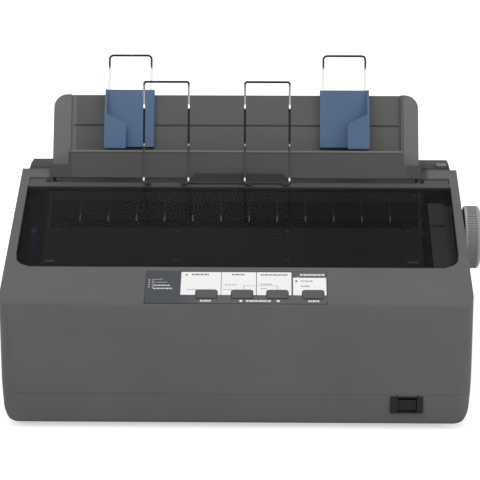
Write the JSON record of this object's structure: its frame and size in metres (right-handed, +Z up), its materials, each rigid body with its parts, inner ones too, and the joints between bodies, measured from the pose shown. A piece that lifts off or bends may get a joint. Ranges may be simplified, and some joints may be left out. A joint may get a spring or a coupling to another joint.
{
  "type": "dot matrix printer",
  "caption": "Desktop impact printer with a smoked lift-up cover over platen and carriage, fold-back sheet guide with sliding edge guides, tractors, knob and key panel.",
  "frame": {"origin": "middle of the whole object's footprint, on the surface it stands on", "axes": "+X to the right as seen from the front (towards the knob), +Y to the back, +Z up"},
  "size_m": [0.362, 0.275, 0.2289],
  "materials": {
    "case_grey": "fine textured dark grey moulding",
    "rail_black": "satin near-black moulding",
    "panel_slate": "satin slate panel film",
    "lamp": "clear pale lamp lenses",
    "switch_black": "black satin moulding",
    "smoked_cover": "polished smoked clear plastic",
    "cover_dark_grey": "fine textured dark grey moulding",
    "wire_chrome": "bright plated wire",
    "guide_grey": "fine textured grey moulding",
    "guide_blue": "satin steel-blue moulding",
    "chassis_black": "black moulding",
    "frame_steel": "bright zinc-plated steel",
    "roller_rubber": "ground black rubber",
    "knob_grey": "textured dark grey moulding",
    "gear_nylon": "natural moulded nylon",
    "motor_steel": "grey zinc motor can",
    "brass": "turned brass",
    "head_metal": "dark cast finned head",
    "ribbon_ink": "inked nylon ribbon",
    "belt_rubber": "black toothed rubber belt",
    "lever_grey": "satin grey moulding",
    "lever_blue": "satin blue moulding",
    "board_green": "green lacquered board",
    "supply_metal": "folded steel box",
    "socket_black": "black socket mouldings",
    "foot_rubber": "soft black rubber",
    "screw_steel": "zinc-plated steel"
  },
  "bodies": {
    "printer_body": {"lower_case": "case_grey", "upper_case": "case_grey", "exit_rail": "rail_black", "control_panel": "panel_slate", "indicator_lamps": "lamp", "power_switch_frame": "switch_black", "sheet_guide_cover": "cover_dark_grey", "base_frame": "chassis_black", "side_frame_left": "frame_steel", "side_frame_right": "frame_steel", "tension_unit": "chassis_black", "feed_motor": "motor_steel", "guide_rod": "frame_steel", "carriage_rail": "frame_steel", "ribbon_cartridge": "chassis_black", "ink_ribbon": "ribbon_ink", "carriage_motor": "motor_steel", "timing_belt": "belt_rubber", "tractor_rod": "frame_steel", "main_board": "board_green", "power_supply": "supply_metal", "rear_sockets": "socket_black", "rubber_feet": "foot_rubber", "case_screws": "screw_steel"},
    "font_button": {"font_button": "panel_slate"},
    "feed_button": {"feed_button": "panel_slate"},
    "load_button": {"load_button": "panel_slate"},
    "pause_button": {"pause_button": "panel_slate"},
    "power_rocker": {"power_rocker": "switch_black"},
    "printer_cover": {"printer_cover": "smoked_cover"},
    "paper_support_left": {"paper_support_left": "wire_chrome"},
    "paper_support_right": {"paper_support_right": "wire_chrome"},
    "sheet_guide": {"sheet_guide": "guide_grey"},
    "edge_guide_left": {"edge_guide_left": "guide_blue"},
    "edge_guide_right": {"edge_guide_right": "guide_blue"},
    "guide_wire_left": {"guide_wire_left": "wire_chrome"},
    "guide_wire_right": {"guide_wire_right": "wire_chrome"},
    "platen": {"platen_roller": "roller_rubber", "platen_shaft": "frame_steel", "platen_knob": "knob_grey", "platen_gear": "gear_nylon"},
    "idler_gear_front": {"idler_gear_front": "gear_nylon"},
    "idler_gear_rear": {"idler_gear_rear": "gear_nylon"},
    "reduction_gear": {"reduction_gear": "gear_nylon"},
    "motor_pinion": {"motor_pinion": "brass"},
    "pinch_rollers": {"pinch_rollers": "roller_rubber"},
    "carriage": {"carriage": "chassis_black", "print_head": "head_metal"},
    "motor_pulley": {"motor_pulley": "brass"},
    "idler_pulley": {"idler_pulley": "brass"},
    "paper_release_lever": {"paper_release_lever": "lever_grey"},
    "thickness_lever": {"thickness_lever": "lever_blue"},
    "tractor_drive": {"tractor_shaft": "frame_steel", "tractor_gear": "gear_nylon"},
    "tractor_left": {"tractor_left": "chassis_black"},
    "tractor_right": {"tractor_right": "chassis_black"},
    "sprocket_left": {"sprocket_left": "gear_nylon"},
    "sprocket_right": {"sprocket_right": "gear_nylon"},
    "tractor_cover_left": {"tractor_cover_left": "chassis_black"},
    "tractor_cover_right": {"tractor_cover_right": "chassis_black"}
  },
  "joints": [
    {"name": "cover_hinge", "type": "hinge", "parent": "printer_body", "child": "printer_cover", "pos_m": [-0.007, 0.0145, 0.13654], "axis": [-1, 0, 0], "range_deg": [0, 110]},
    {"name": "support_fold_left", "type": "hinge", "parent": "printer_body", "child": "paper_support_left", "pos_m": [-0.0605, 0.022, 0.14339], "axis": [-1, 0, 0], "range_deg": [-124, 0]},
    {"name": "support_fold_right", "type": "hinge", "parent": "printer_body", "child": "paper_support_right", "pos_m": [0.0175, 0.022, 0.14339], "axis": [-1, 0, 0], "range_deg": [-124, 0]},
    {"name": "sheet_guide_fold", "type": "hinge", "parent": "printer_body", "child": "sheet_guide", "pos_m": [-0.0102, 0.0585, 0.1385], "axis": [-1, 0, 0], "range_deg": [0, 68]},
    {"name": "edge_guide_slide_left", "type": "slide", "parent": "sheet_guide", "child": "edge_guide_left", "axis": [1, 0, 0], "range_m": [-0.023, 0.05]},
    {"name": "edge_guide_slide_right", "type": "slide", "parent": "sheet_guide", "child": "edge_guide_right", "axis": [1, 0, 0], "range_m": [-0.05, 0.022]},
    {"name": "guide_wire_slide_left", "type": "slide", "parent": "edge_guide_left", "child": "guide_wire_left", "axis": [0, 0.5, 0.866], "range_m": [-0.014, 0]},
    {"name": "guide_wire_slide_right", "type": "slide", "parent": "edge_guide_right", "child": "guide_wire_right", "axis": [0, 0.5, 0.866], "range_m": [-0.014, 0]},
    {"name": "platen_spin", "type": "hinge", "parent": "printer_body", "child": "platen", "pos_m": [-0.0102, 0.0025, 0.1064], "axis": [1, 0, 0], "continuous": true},
    {"name": "idler_spin_front", "type": "hinge", "parent": "printer_body", "child": "idler_gear_front", "pos_m": [0.1435, 0.03649, 0.10729], "axis": [1, 0, 0], "continuous": true},
    {"name": "idler_spin_rear", "type": "hinge", "parent": "printer_body", "child": "idler_gear_rear", "pos_m": [0.1435, 0.06448, 0.10802], "axis": [1, 0, 0], "continuous": true},
    {"name": "reduction_spin", "type": "hinge", "parent": "printer_body", "child": "reduction_gear", "pos_m": [0.1435, 0.01518, 0.08256], "axis": [1, 0, 0], "continuous": true},
    {"name": "feed_motor_spin", "type": "hinge", "parent": "printer_body", "child": "motor_pinion", "pos_m": [0.1435, 0.01031, 0.05499], "axis": [1, 0, 0], "continuous": true},
    {"name": "pinch_roller_spin", "type": "hinge", "parent": "printer_body", "child": "pinch_rollers", "pos_m": [-0.0102, 0.00737, 0.08824], "axis": [1, 0, 0], "continuous": true},
    {"name": "tractor_drive_spin", "type": "hinge", "parent": "printer_body", "child": "tractor_drive", "pos_m": [-0.0102, 0.09847, 0.10891], "axis": [1, 0, 0], "continuous": true},
    {"name": "tractor_slide_left", "type": "slide", "parent": "printer_body", "child": "tractor_left", "axis": [1, 0, 0], "range_m": [-0.018, 0.06]},
    {"name": "tractor_slide_right", "type": "slide", "parent": "printer_body", "child": "tractor_right", "axis": [1, 0, 0], "range_m": [-0.06, 0.018]},
    {"name": "sprocket_spin_left", "type": "hinge", "parent": "tractor_left", "child": "sprocket_left", "pos_m": [-0.1222, 0.09847, 0.10891], "axis": [1, 0, 0], "continuous": true},
    {"name": "sprocket_spin_right", "type": "hinge", "parent": "tractor_right", "child": "sprocket_right", "pos_m": [0.1018, 0.09847, 0.10891], "axis": [1, 0, 0], "continuous": true},
    {"name": "tractor_cover_hinge_left", "type": "hinge", "parent": "tractor_left", "child": "tractor_cover_left", "pos_m": [-0.1302, 0.07847, 0.12281], "axis": [0, 1, 0], "range_deg": [-100, 0]},
    {"name": "tractor_cover_hinge_right", "type": "hinge", "parent": "tractor_right", "child": "tractor_cover_right", "pos_m": [0.1098, 0.07847, 0.12281], "axis": [0, -1, 0], "range_deg": [-100, 0]},
    {"name": "carriage_slide", "type": "slide", "parent": "printer_body", "child": "carriage", "axis": [1, 0, 0], "range_m": [-0.1, 0.1]},
    {"name": "carriage_motor_spin", "type": "hinge", "parent": "printer_body", "child": "motor_pulley", "pos_m": [-0.1322, -0.0421, 0.052], "axis": [0, 0, 1], "range_deg": [-720, 720]},
    {"name": "idler_pulley_spin", "type": "hinge", "parent": "printer_body", "child": "idler_pulley", "pos_m": [0.1118, -0.0421, 0.052], "axis": [0, 0, 1], "range_deg": [-720, 720]},
    {"name": "paper_release", "type": "hinge", "parent": "printer_body", "child": "paper_release_lever", "pos_m": [0.153, 0.0535, 0.118], "axis": [-1, 0, 0], "range_deg": [0, 10]},
    {"name": "thickness_adjust", "type": "hinge", "parent": "printer_body", "child": "thickness_lever", "pos_m": [-0.1582, -0.0255, 0.09], "axis": [1, 0, 0], "range_deg": [-6, 6]},
    {"name": "power_switch", "type": "hinge", "parent": "printer_body", "child": "power_rocker", "pos_m": [0.1193, -0.1303, 0.0211], "axis": [1, 0, 0], "range_deg": [-12, 0]},
    {"name": "font_press", "type": "slide", "parent": "printer_body", "child": "font_button", "axis": [0, 0.2756, -0.9613], "range_m": [0, 0.001], "stiffness_N_per_m": 400},
    {"name": "feed_press", "type": "slide", "parent": "printer_body", "child": "feed_button", "axis": [0, 0.2756, -0.9613], "range_m": [0, 0.001], "stiffness_N_per_m": 400},
    {"name": "load_press", "type": "slide", "parent": "printer_body", "child": "load_button", "axis": [0, 0.2756, -0.9613], "range_m": [0, 0.001], "stiffness_N_per_m": 400},
    {"name": "pause_press", "type": "slide", "parent": "printer_body", "child": "pause_button", "axis": [0, 0.2756, -0.9613], "range_m": [0, 0.001], "stiffness_N_per_m": 400}
  ],
  "couplings": [
    {"joint": "idler_spin_front", "follows": "platen_spin", "ratio": -1.4286},
    {"joint": "idler_spin_rear", "follows": "platen_spin", "ratio": 1.4286},
    {"joint": "reduction_spin", "follows": "platen_spin", "ratio": -2.8571},
    {"joint": "feed_motor_spin", "follows": "platen_spin", "ratio": 8.5714},
    {"joint": "pinch_roller_spin", "follows": "platen_spin", "ratio": -2.7},
    {"joint": "tractor_drive_spin", "follows": "platen_spin", "ratio": -1},
    {"joint": "sprocket_spin_left", "follows": "platen_spin", "ratio": -1},
    {"joint": "sprocket_spin_right", "follows": "platen_spin", "ratio": -1},
    {"joint": "carriage_motor_spin", "follows": "carriage_slide", "rad_per_m": -116.28},
    {"joint": "idler_pulley_spin", "follows": "carriage_slide", "rad_per_m": -116.28}
  ]
}
